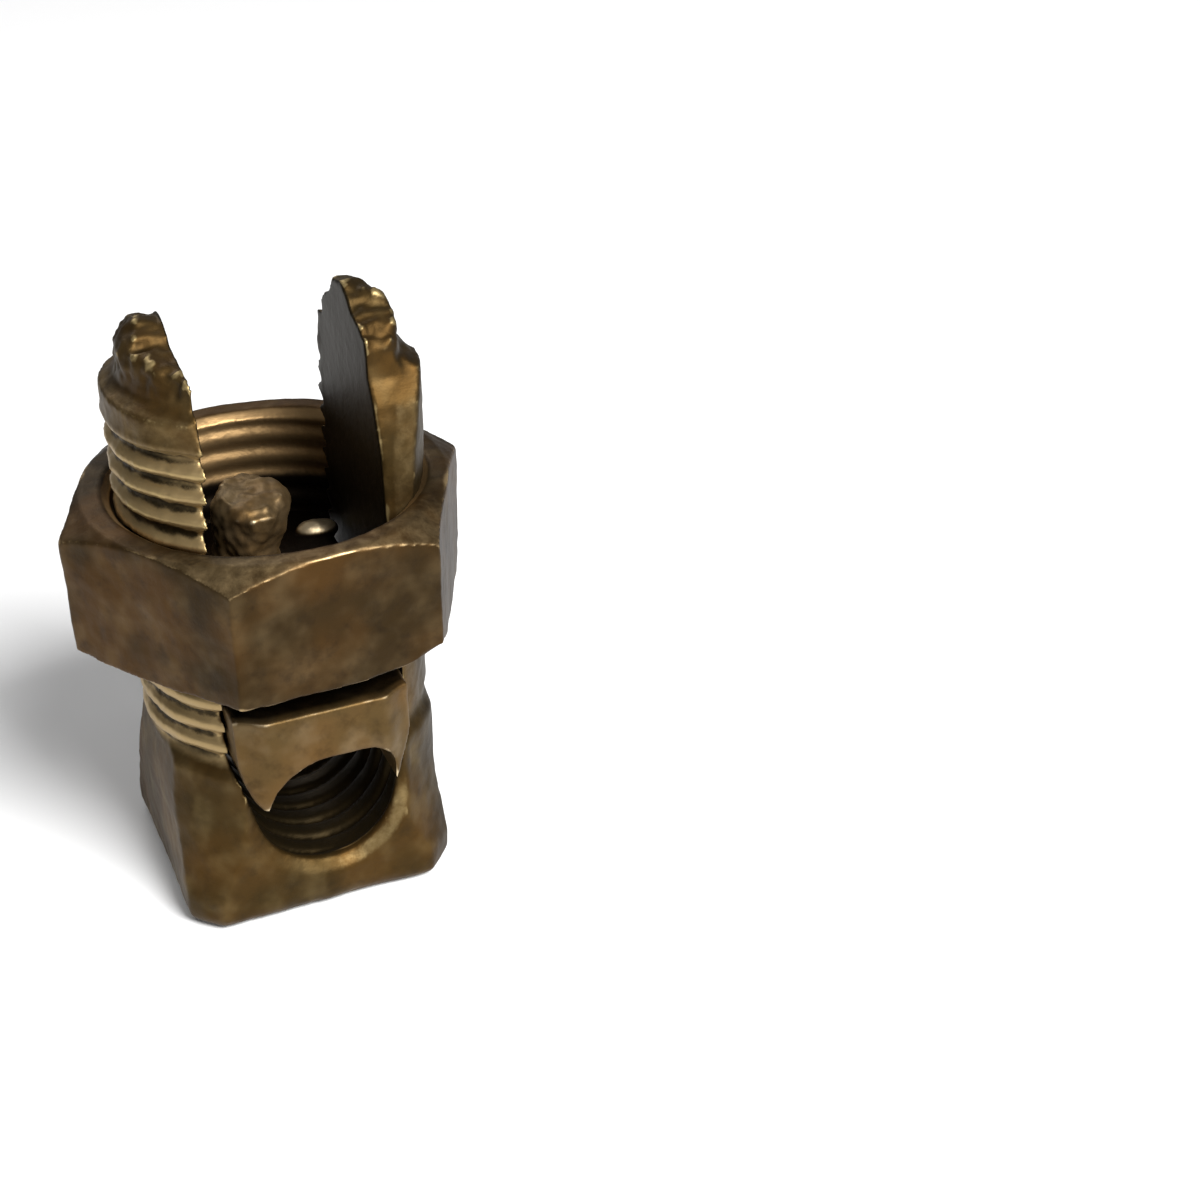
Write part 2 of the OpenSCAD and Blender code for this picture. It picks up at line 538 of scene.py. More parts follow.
@dataclass(frozen=True)
class Wiring:
    """Adds nodes to a material and joins them up.

    Attributes:
        tree: The material's node tree.
        place: The socket that gives each point's place on the piece.
    """

    tree: bpy.types.NodeTree
    place: Socket

    def feed(self, target: Socket, source: Source) -> None:
        """Joins a socket to an input, or sets the input to a plain value.

        Args:
            target: The input.
            source: A socket, a number or a colour.
        """
        if isinstance(source, tuple):
            target.default_value = (*source, 1)
        elif isinstance(source, (int, float)):
            target.default_value = source
        else:
            self.tree.links.new(source, target)

    def cloud(self, size: float, detail: float, rough: float, twist: float = 0.0) -> Socket:
        """Adds a cloudy pattern.

        Args:
            size: The size of its features in millimetres.
            detail: How many finer layers it has.
            rough: How strong the finer layers are.
            twist: How much it is distorted.

        Returns:
            The socket of its value.
        """
        node = self.tree.nodes.new("ShaderNodeTexNoise")
        node.inputs["Scale"].default_value = 1 / (size * MM)
        node.inputs["Detail"].default_value = detail
        node.inputs["Roughness"].default_value = rough
        node.inputs["Distortion"].default_value = twist
        self.feed(node.inputs["Vector"], self.place)
        return node.outputs["Fac"]

    def steep(self, source: Socket, low: float, high: float) -> Socket:
        """Adds a smooth map of a value onto 0 to 1.

        Args:
            source: The value.
            low: What becomes 0.
            high: What becomes 1.

        Returns:
            The socket of the mapped value.
        """
        node = self.tree.nodes.new("ShaderNodeMapRange")
        node.interpolation_type = "SMOOTHSTEP"
        node.inputs["From Min"].default_value = low
        node.inputs["From Max"].default_value = high
        self.feed(node.inputs["Value"], source)
        return node.outputs["Result"]

    def maths(self, kind: str, first: Source, second: Source) -> Socket:
        """Adds a sum of two values, kept to 0 to 1.

        Args:
            kind: The operation.
            first: The first value.
            second: The second value.

        Returns:
            The socket of the result.
        """
        node = self.tree.nodes.new("ShaderNodeMath")
        node.operation = kind
        node.use_clamp = True
        self.feed(node.inputs[0], first)
        self.feed(node.inputs[1], second)
        return node.outputs[0]

    def tint(self, factor: Socket, low: Source, high: Source) -> Socket:
        """Mixes two colours.

        Args:
            factor: The share of the second colour.
            low: The colour at 0.
            high: The colour at 1.

        Returns:
            The socket of the mixed colour.
        """
        node = self.tree.nodes.new("ShaderNodeMix")
        node.data_type = "RGBA"
        factor_in, low_in, high_in = node.inputs[0], node.inputs[6], node.inputs[7]
        self.feed(factor_in, factor)
        self.feed(low_in, low)
        self.feed(high_in, high)
        return node.outputs[2]

    def ragged(self, name: str, share: float, low: float, high: float) -> Socket:
        """Reads a stored value and gives it an uneven edge.

        Args:
            name: The attribute's name.
            share: How much unevenness is added.
            low: What becomes 0.
            high: What becomes 1.

        Returns:
            The socket of the value.
        """
        mark = self.tree.nodes.new("ShaderNodeAttribute")
        mark.attribute_name = name
        uneven = self.maths("MULTIPLY", self.cloud(0.9, 4, 0.65, 0.3), share)
        return self.steep(self.maths("ADD", mark.outputs["Fac"], uneven), low, high)


@dataclass(frozen=True)
class Bronze:
    """Aged cast bronze: patina, worn edges and painted highlights, dirt and painted shade, and cast
    grain.

    Attributes:
        name: The material's name.
        patina: Colour of the dark skin.
        warm: Colour of the redder, thinner skin.
        worn: Colour where the skin is rubbed off, and of painted highlights.
        dirt_and_shade: Colour of dirt in the hollows and of painted shade.
        machined: Colour of cut and rubbed thread.
        grain: Strength of the cast grain's bump.
        grain_depth: Depth of the cast grain in millimetres.
        gloss: Roughness of rubbed metal.
        dull: Roughness of the skin.
        metal: How metallic the surface is.
        glint: Level of the plain reflection under the metal.
        blotch_share: How far blotches go towards the worn colour.
        stain_share: How far stains go towards the dirt_and_shade colour.
        cut_gloss: How much cut metal counts as rubbed.
    """

    name: str
    patina: Colour
    warm: Colour
    worn: Colour
    dirt_and_shade: Colour
    machined: Colour
    grain: float = 0.3
    grain_depth: float = 0.1
    gloss: float = 0.38
    dull: float = 0.52
    metal: float = 0.8
    glint: float = 0.1
    blotch_share: float = 0.13
    stain_share: float = 0.45
    cut_gloss: float = 0.6

    def material(self) -> bpy.types.Material:
        """Builds the node material.

        Returns:
            The material, which reads the attributes wear_and_highlight, hollow and cut.
        """
        made = bpy.data.materials.new(self.name)
        made.use_nodes = True
        nodes = made.node_tree.nodes
        shader = nodes["Principled BSDF"]
        place = nodes.new("ShaderNodeTexCoord").outputs["Object"]
        wiring = Wiring(made.node_tree, place)
        wiring.feed(shader.inputs["Metallic"], self.metal)
        wiring.feed(shader.inputs["Specular IOR Level"], self.glint)

        broad = wiring.steep(wiring.cloud(6.0, 2, 0.5), 0.36, 0.64)
        blotch = wiring.steep(wiring.cloud(2.0, 2, 0.5), 0.40, 0.80)
        blotch = wiring.maths("MULTIPLY", blotch, self.blotch_share)
        stain = wiring.steep(wiring.cloud(1.3, 3, 0.6), 0.45, 0.80)
        stain = wiring.maths("MULTIPLY", stain, self.stain_share)
        cut = wiring.ragged("cut", 0.35, 0.30, 0.95)
        # wear_and_highlight lightens worn edges and painted highlights; hollow darkens dirt and
        # painted shade.
        wear_and_highlight = wiring.ragged("wear_and_highlight", 0.5, 0.42, 1.05)
        hollow = wiring.ragged("hollow", 0.35, 0.30, 1.0)
        colour = wiring.tint(broad, self.patina, self.warm)
        for share, over in (
            (blotch, self.worn),
            (stain, self.dirt_and_shade),
            (cut, self.machined),
            (wear_and_highlight, self.worn),
            (hollow, self.dirt_and_shade),
        ):
            colour = wiring.tint(share, colour, over)
        wiring.feed(shader.inputs["Base Color"], colour)

        cut_shine = wiring.maths("MULTIPLY", cut, self.cut_gloss)
        rubbed = wiring.maths("MAXIMUM", wear_and_highlight, cut_shine)
        rough = nodes.new("ShaderNodeMapRange")
        rough.inputs["To Min"].default_value = self.dull
        rough.inputs["To Max"].default_value = self.gloss
        wiring.feed(rough.inputs["Value"], wiring.maths("SUBTRACT", rubbed, hollow))
        wiring.feed(shader.inputs["Roughness"], rough.outputs["Result"])

        bump = nodes.new("ShaderNodeBump")
        bump.inputs["Strength"].default_value = self.grain
        bump.inputs["Distance"].default_value = self.grain_depth * MM
        wiring.feed(bump.inputs["Height"], wiring.cloud(0.6, 4, 0.65))
        wiring.feed(shader.inputs["Normal"], bump.outputs["Normal"])
        return made


def dress(piece: Piece, finish: bpy.types.Material) -> None:
    """Gives a piece one finish and smooth shading.

    Args:
        piece: The piece to dress.
        finish: The material it gets.
    """
    piece.data.materials.clear()
    piece.data.materials.append(finish)
    pick(piece)
    bpy.ops.object.shade_smooth()


# ---------------------------------------------------------------- pieces


@dataclass(frozen=True)
class Lug:
    """A rounded lug on the end of one leg.

    Attributes:
        side: 1 for the leg on +X, -1 for the leg on -X.
        near: Place of its near edge at the foot, in millimetres.
        far: Place of its far edge at the foot, in millimetres.
        tip: Place of the middle of its tip, in millimetres.
        tip_r: Radius of its tip in millimetres.
        sunk: How far it reaches down into the leg, in millimetres.
        reach: Distance of its outer face from the middle, in millimetres.
    """

    side: int
    near: float
    far: float
    tip: float
    tip_r: float
    sunk: float = 1.5
    reach: float = 8.3

    def build(self, foot: float, top: float, inner: float) -> Piece:
        """Makes the lug.

        Args:
            foot: Height of its foot in millimetres.
            top: Height of its tip in millimetres.
            inner: Distance of its inner face from the middle in millimetres.

        Returns:
            The lug.
        """
        rise = top - foot
        far_shoulder = (self.far - 0.3, foot + 0.3 * rise)
        near_shoulder = (self.near + 0.4, foot + 0.42 * rise)
        section = (
            [(self.far, foot - self.sunk), (self.far, foot), far_shoulder]
            + arc((self.tip, top - self.tip_r), self.tip_r, 30, 150, 8)
            + [near_shoulder, (self.near, foot), (self.near, foot - self.sunk)]
        )
        ends = sorted((self.side * inner, self.side * self.reach))
        lug = prism("lug", section, Along.X, *ends)
        crown = lathe(
            "crown",
            [
                (0, foot - 2),
                (8.0, foot - 2),
                (7.95, foot),
                (7.7, foot + 0.6 * rise),
                (7.2, top - 0.4),
                (6.6, top + 0.1),
                (0, top + 0.1),
            ],
        )
        return combine(lug, crown, Cut.KEEP)


@dataclass
class SplitBolt:
    """The split bolt: square head, two threaded legs and a lug on each.

    Pairs are the low and the high end of a gradual change. All values are in
    millimetres.

    Attributes:
        head_w: Width of the square head across its flats.
        head_h: Height at which the head ends.
        head_shift: How far the head's foot stands off the shank's axis.
        corner_r: Distance of the head's corners from the axis at the foot.
        corner_top_r: The same at the top of the hollow flare.
        foot_band: Height of the straight band under the flare.
        thread: The thread on the legs.
        thread_low: Height at which the thread starts.
        thread_top: Height at which it ends.
        neck_r: Radius of the neck between head and thread.
        slot_r: Half of the gap between the legs.
        channel_r: Radius of the slot's round bottom.
        channel_z: Height of that round's centre.
        slot_full_z: Height over which the slot is fully wide.
        full_h: Height of the lugs' tips.
        voxel: Size of the skin's faces.
        skin: The cast skin.
        pinch_z: Heights over which the legs thicken inwards.
        left_wall: Distances from the axis over which the left leg thickens.
        right_wall: The same for the right leg.
        mouth_r: Distances from the channel's axis over which its mouths round.
        mouth_y: Places along the channel over which they round.
    """

    head_w: float = 17.0
    head_h: float = 11.0
    head_shift: float = -0.4
    corner_r: float = 10.75
    corner_top_r: float = 9.3
    foot_band: float = 2.2
    thread: ScrewThread = field(
        default_factory=lambda: ScrewThread(crest=8.95, root=8.4, pitch=1.5)
    )
    thread_low: float = 9.6
    thread_top: float = 33.5
    neck_r: float = 8.8
    slot_r: float = 5.5
    channel_r: float = 4.4
    channel_z: float = 7.7
    slot_full_z: float = 11.6
    full_h: float = 37.05
    voxel: float = 0.19
    skin: CastSkin = CastSkin(0.16, 3.4, 0.04, 0.8, 3.1)
    pinch_z: Pair = (23.0, 31.0)
    left_wall: Pair = (6.0, 8.6)
    right_wall: Pair = (5.8, 8.6)
    mouth_r: Pair = (4.3, 5.4)
    mouth_y: Pair = (7.3, 8.0)

    def head(self) -> Piece:
        """Makes the head: a square prism cut by a hollow-flared turning.

        Returns:
            The head.
        """
        low, high = self.foot_band, self.head_h - 0.6
        steps, hollow = 12, 1.8
        spread = self.corner_r - self.corner_top_r
        flare = [
            (self.corner_top_r + spread * (1 - i / steps) ** hollow, low + (high - low) * i / steps)
            for i in range(steps + 1)
        ]
        foot = [(0.0, 0.0), (self.corner_r - 1.1, 0.0)] + arc(
            (self.corner_r - 1.0, 1.0), 1.0, -80, 0, 5
        )
        top = [(8.8, self.head_h), (0.0, self.head_h)]
        turning = lathe("head", foot + flare + top)
        w = self.head_w / 2
        square = block("square", (-w, -w, 0), (w, w, self.head_h + 1), 1.2)
        points = points_of(square)
        taper = 0.035
        points[:, :2] *= (1 - taper * points[:, 2] / self.head_h)[:, None]
        move_points(square, points)
        head = combine(turning, square, Cut.KEEP)
        points = points_of(head)
        points[:, 0] += self.head_shift * (1 - ramp(points[:, 2], 7.0, 11.0))
        move_points(head, points)
        return head

    def shank(self) -> Piece:
        """Makes the threaded shank with its run-out over the head.

        Returns:
            The shank.
        """
        rod = self.thread.rod("shank", self.thread_low, self.thread_top)
        low, top = self.thread_low, self.thread_top
        guard = lathe(
            "guard",
            [
                (0.0, low - 1),
                (7.9, low - 1),
                (8.2, low + 0.2),
                (self.neck_r, low + 1.9),
                (self.neck_r, low + 6.5),
                (9.2, low + 8.5),
                (9.2, top - 1.7),
                (8.95, top - 0.9),
                (8.3, top - 0.1),
                (7.9, top + 0.1),
                (0.0, top + 0.1),
            ],
        )
        return combine(rod, guard, Cut.KEEP)

    def sleeve(self) -> Piece:
        """Makes the smooth stretch where the right leg's thread is rubbed off.

        Returns:
            The smooth stretch.
        """
        low, top = self.thread_low + 0.6, self.thread_top - 0.5
        r = self.thread.crest + 0.03
        round_bar = lathe(
            "sleeve",
            [(0, low), (8.2, low), (self.neck_r, low + 1.6), (r, low + 8), (r, top), (0, top)],
        )
        corner = block("corner", (3.0, -10.0, 0.0), (11.0, -0.4, self.full_h))
        return combine(round_bar, corner, Cut.KEEP)

    def collar(self) -> Piece:
        """Makes the smooth collar over the left leg's last thread.

        Returns:
            The collar.
        """
        low, top = self.thread_top - 2.2, self.thread_top - 0.3
        r = self.thread.crest - 0.1
        ring = lathe("collar", [(0, low), (r - 0.4, low), (r, low + 0.5), (r, top), (0, top)])
        side = block("side", (-11.0, -10.0, 0.0), (-3.0, 10.0, self.full_h))
        return combine(ring, side, Cut.KEEP)

    def slot(self) -> Piece:
        """Makes the tool that cuts the slot: round bottom, tapered sides.

        Returns:
            The tool.
        """
        bottom = arc((0.0, self.channel_z), self.channel_r, 195, 345, 28)
        section = (
            [(-self.slot_r, self.full_h + 3), (-self.slot_r, self.slot_full_z)]
            + bottom
            + [(self.slot_r, self.slot_full_z), (self.slot_r, self.full_h + 3)]
        )
        return prism("slot", section, Along.Y, -20.0, 20.0)

    def ribs(self) -> Piece:
        """Makes the tool that cuts gripping grooves round the channel.

        Returns:
            The tool.
        """
        groove = ScrewThread(crest=4.85, root=4.1, pitch=1.7)
        tool = groove.rod("ribs", -7.3, 7.3)
        turn(tool, 90, "X", (0, 0, 0))
        widen, deepen, lowest = 1.07, 1.3, 2.98
        points = points_of(tool)
        points[:, 0] *= widen
        points[:, 2] = lowest + (points[:, 2] + groove.crest) * deepen
        move_points(tool, points)
        return tool

    def flats(self) -> list[Piece]:
        """Makes the tools that flatten and bevel the legs' edges.

        Returns:
            The tools.
        """
        low, top = 20.0, self.thread_top + 0.3
        edges = {
            ("near", 1): [(-7.4, low), (-5.6, 23.0), (-5.25, 28.4), (-4.4, 31.2), (-3.0, top)],
            ("far", 1): [(7.5, 24.5), (6.9, 29.0), (6.0, top)],
            ("near", -1): [(-7.4, 27.0), (-7.0, 31.4), (-6.1, top)],
            ("far", -1): [(7.5, 24.5), (5.1, top)],
        }
        tools = []
        for (edge, side), line in edges.items():
            out = -12.0 if edge == "near" else 12.0
            section = [(out, line[0][1])] + line + [(out, top)]
            ends = sorted((side * 3.0, side * 12.0))
            tools.append(prism("flat", section, Along.X, *ends))
        return tools

    def build(self) -> Piece:
        """Builds the whole bolt, skinned and marked for its finish.

        Returns:
            The bolt.
        """
        threaded = [self.shank(), self.sleeve(), self.collar()]
        for shell in threaded:
            for tool in self.flats():
                combine(shell, tool, Cut.AWAY)
        shells = [self.head(), *threaded]
        for shell in shells:
            combine(shell, self.slot(), Cut.AWAY)
            combine(shell, self.ribs(), Cut.AWAY)
        for lug in (
            Lug(side=-1, near=-6.2, far=4.2, tip=0.6, tip_r=2.4),
            Lug(side=1, near=-3.6, far=5.2, tip=0.9, tip_r=2.2),
        ):
            shells.append(lug.build(self.thread_top, self.full_h, self.slot_r))
        bolt = fuse(shells, "split_bolt_body")
        skin(bolt, self.voxel, 3)
        self.bend(bolt)
        self.weather(bolt)
        return bolt

    def bend(self, bolt: Piece) -> None:
        """Thickens the pinched legs and rounds the channel's mouths.

        Args:
            bolt: The bolt's mesh, finely skinned.
        """
        points = points_of(bolt)
        x, y, z = points.T
        left_in, right_out, near_out, mouth_round = 0.5, 0.15, 0.3, 0.55
        upper = ramp(z, *self.pinch_z)
        left = upper * (1 - ramp(-x, *self.left_wall)) * (x < 0)
        right = upper * ramp(x, *self.right_wall)
        points[:, 0] += left_in * left + right_out * right
        # x is a view of the points, so this reads the right leg as already moved.
        outer = ramp(x, *self.right_wall)
        points[:, 0] += near_out * ramp(z, 24.0, 27.0) * outer * ramp(-y, -4.0, 0.0)
        mouth = 1 - ramp(np.hypot(x, z - self.channel_z), *self.mouth_r)
        mouth *= ramp(np.abs(y), *self.mouth_y) * (z < self.slot_full_z)
        points[:, 1] -= mouth_round * np.sign(y) * mouth
        move_points(bolt, points)

    def weather(self, bolt: Piece) -> None:
        """Presses the cast skin in and marks wear, dirt, painted shade and cut metal.

        Args:
            bolt: The bolt's mesh, finely skinned.
        """
        # Zones: 1 inside, 0 outside, with a short change between.
        x, y, z = points_of(bolt).T
        radius = np.hypot(x, y)
        threaded = ramp(radius, 7.9, 8.25) * ramp(z, 10.6, 11.6) * (1 - ramp(z, 33.2, 34.0))
        facing = -np.sign(x) * normals_of(bolt)[:, 0]
        flank = ramp(facing, 0.5, 0.85) * (np.abs(x) < 6.6)
        inner = flank * ramp(z, 12.5, 14.0)
        wall = np.hypot(x * 1.1, np.minimum(z - 9.0, 0.0))
        channel = (
            (1 - ramp(wall, 5.9, 6.3))
            * (1 - ramp(np.abs(y), 7.3, 7.8))
            * (1 - ramp(z, 13.0, 15.0))
        )
        lugs = ramp(z, 33.6, 34.4)
        # The cast skin, weaker on cut thread and inside the slot.
        share = 1 - 0.5 * threaded
        share *= 1 - 0.7 * np.maximum(inner, channel)
        self.skin.press(bolt, share * ramp(z, 0.0, 0.5))
        CastSkin(0.08, 1.5, 0.03, 0.6, 6.3).press(bolt, threaded)
        CastSkin(0.32, 1.2, 0.14, 0.5, 8.2).press(bolt, lugs * (1 - flank))
        # Wear: edges, thread crests and the rim of the channel's mouth.
        fine = ridge_depth(bolt, 10)
        wide = ridge_depth(bolt, 16)
        rim = np.hypot(x, z - self.channel_z)
        rim = ramp(rim, 4.3, 4.6) * (1 - ramp(rim, 5.0, 5.5)) * ramp(np.abs(y), 7.4, 7.9)
        rim *= ramp(x, -2.5, 3.0) * (1 - ramp(z, 7.5, 10.0))
        crest = threaded * ramp(wide, 0.04, 0.16)
        collar = ramp(z, 30.9, 31.8) * (1 - lugs)
        wear_and_highlight = ramp(fine, 0.06, 0.16) + 0.4 * ramp(wide, 0.08, 0.3) + 0.4 * rim
        wear_and_highlight = (wear_and_highlight + 0.5 * crest) * (1 - 0.5 * collar)
        paint(bolt, "wear_and_highlight", np.clip(wear_and_highlight, 0, 1) * (1 - 0.8 * inner) * (1 - 0.6 * channel))
        # Darkening: dirt in pits and thread roots, a darker channel and inner faces, painted shade
        # on faces turned towards +X, and a darker tone on the lugs.
        pits = 0.7 * ramp(-fine, 0.04, 0.14)
        valley = 0.75 * threaded * ramp(-wide, 0.0, 0.08)
        # Painted shade: the right leg and the head are darkened where their faces turn towards +X.
        painted_shade_and_tone = 0.6 * ramp(x, 4.5, 8.0) * ramp(normals_of(bolt)[:, 0], -0.1, 0.6)
        # The lugs are darkened too, in the same mask.
        painted_shade_and_tone = np.maximum(painted_shade_and_tone, 0.40 * lugs)
        paint(bolt, "hollow", np.maximum.reduce([pits, valley, 0.72 * channel, inner, painted_shade_and_tone]))
        right = ramp(x, 0.0, 2.0) * (1 - ramp(y, -2.0, 2.0))
        paint(bolt, "cut", threaded * (1 - 0.75 * right) * (1 - 0.75 * collar))


@dataclass
class PressureBar:
    """The pressure bar: an arched saddle, a riser and a rough stem.

    All values are in millimetres.

    Attributes:
        half_w: Half of its width between the legs.
        half_l: Half of its length along the wire.
        top: Height of the saddle's flat top.
        horn_z: Height of the horns' tips.
        arch_z: Height of the arch over the wire.
        arch_r: Half of the arch's width.
        arch_corner_r: Radius of the arch's tighter corner.
        riser_l: How far the riser reaches towards the front.
        riser_back: How much further it reaches towards the back.
        riser_in: How much narrower it is than the saddle, a side.
        riser_top: Height of the riser's top.
        bore_r: Radius inside the nut that the riser keeps to.
        stem_off: How far the stem's head stands off the axis.
        stem_lean: How far the stem leans for each millimetre down.
        stem_top: Height of the stem's head.
        end_round: How far the ends' corners are rounded back.
        voxel: Size of the skin's faces.
        skin: The cast skin.
    """

    half_w: float = 5.33
    half_l: float = 9.35
    top: float = 15.05
    horn_z: float = 8.7
    arch_z: float = 11.7
    arch_r: float = 4.0
    arch_corner_r: float = 1.9
    riser_l: float = 6.15
    riser_back: float = 2.5
    riser_in: float = 0.35
    riser_top: float = 19.3
    bore_r: float = 8.3
    stem_off: float = 0.9
    stem_lean: float = 0.14
    stem_top: float = 25.1
    end_round: float = 0.9
    voxel: float = 0.13
    skin: CastSkin = CastSkin(0.10, 2.6, 0.03, 0.7, 11.7)

    def saddle(self) -> Piece:
        """Makes the straight saddle with its arch and two horns.

        Returns:
            The saddle.
        """
        w, horn = self.half_w, self.horn_z
        left = [(-w, 11.8), (-w + 0.35, 10.4), (-w + 0.8, 9.3), (-w + 1.2, horn + 0.08)]
        right = [(-u, v) for u, v in reversed(left)]
        corner = self.arch_corner_r
        arch = arc((0.0, self.arch_z - self.arch_r), self.arch_r, 165, 90, 14) + arc(
            (self.arch_r + 0.1 - corner, self.arch_z - corner), corner, 90, 0, 8
        )
        section = [(-w, self.top)] + left + arch + [(self.arch_r + 0.1, horn)]
        section += right + [(w, self.top)]
        return prism("saddle", section, Along.Y, -self.half_l, self.half_l)

    def crown(self) -> list[Piece]:
        """Makes the riser that enters the nut, and the stem on it.

        Returns:
            The riser, the lump beside the stem, and the stem.
        """
        w, length, r = self.half_w - self.riser_in, self.riser_l, self.bore_r
        far = (w, length + self.riser_back, self.riser_top)
        riser = block("riser", (-w, -length, self.top - 1), far, 0.7)
        fit = [(0, self.top - 2), (r, self.top - 2), (r, self.riser_top + 1)]
        combine(riser, lathe("fit", fit + [(0, self.riser_top + 1)]), Cut.KEEP)
        deselect()
        bpy.ops.mesh.primitive_uv_sphere_add(
            segments=24,
            ring_count=16,
            radius=MM,
            location=(4.0 * MM, 4.5 * MM, (self.riser_top - 0.1) * MM),
        )
        lump = bpy.context.object
        lump.scale = (1.45, 0.9, 0.75)
        settle(lump)
        low, top = self.riser_top, self.stem_top
        stem = lathe(
            "stem",
            [
                (0.0, low - 1.0),
                (2.3, low - 1.0),
                (2.1, low + 0.4),
                (1.9, low + 2.4),
                (2.1, low + 3.6),
                (2.25, top - 0.7),
                (1.8, top - 0.1),
                (0.0, top),
            ],
            48,
        )
        points = points_of(stem)
        points[:, 0] -= self.stem_off + self.stem_lean * (top - points[:, 2])
        points[:, 1] = 1.25 * points[:, 1] + 0.5
        move_points(stem, points)
        return [riser, lump, stem]

    def build(self) -> Piece:
        """Builds the whole bar, skinned and marked for its finish.

        Returns:
            The bar.
        """
        bar = fuse([self.saddle(), *self.crown()], "pressure_bar_body")
        skin(bar, self.voxel, 3)
        x, y, z = points_of(bar).T
        stem = ramp(z, self.riser_top + 0.1, self.riser_top + 1.2)
        # Painted shadow: the saddle's top under the nut is darkened and kept from wear, apart from
        # its ends.
        under = ramp(z, self.top - 0.15, self.top + 0.1) * (1 - stem)
        rim = (1 - ramp(z, self.top - 0.1, self.top + 0.3)) * ramp(np.abs(y), 8.4, 9.1)
        points = points_of(bar)
        ends = ramp(np.abs(x), 3.4, self.half_w) * ramp(np.abs(y), 6.0, self.half_l)
        points[:, 1] -= self.end_round * np.sign(y) * ends * (z < self.top + 0.3)
        move_points(bar, points)
        self.skin.press(bar, np.ones(len(x)))
        CastSkin(0.3, 1.5, 0.12, 0.5, 5.5).press(bar, stem)
        fine = ridge_depth(bar, 3)
        wide = ridge_depth(bar, 16)
        # Painted highlight: a bright spot on the far right corner of the riser's top, stored with
        # the wear.
        spot = np.hypot((x - 4.0) / 1.5, (y - 4.4) / 0.9)
        spot = (1 - ramp(spot, 0.6, 1.1)) * ramp(z, self.riser_top - 0.4, self.riser_top + 0.2)
        wear_and_highlight = ramp(fine, 0.01, 0.06) + 0.4 * ramp(wide, 0.08, 0.25) + 1.4 * spot
        paint(bar, "wear_and_highlight", np.clip(wear_and_highlight, 0, 1) * (1 - 0.85 * under * (1 - rim) * (1 - spot)))
        # dark is the painted shadow under the nut, stored in hollow.
        dark = under * (1 - rim) * (1 - spot)
        paint(bar, "hollow", np.maximum(0.8 * ramp(-fine, 0.015, 0.06), dark))
        paint(bar, "cut", 0.3 * stem)
        return bar


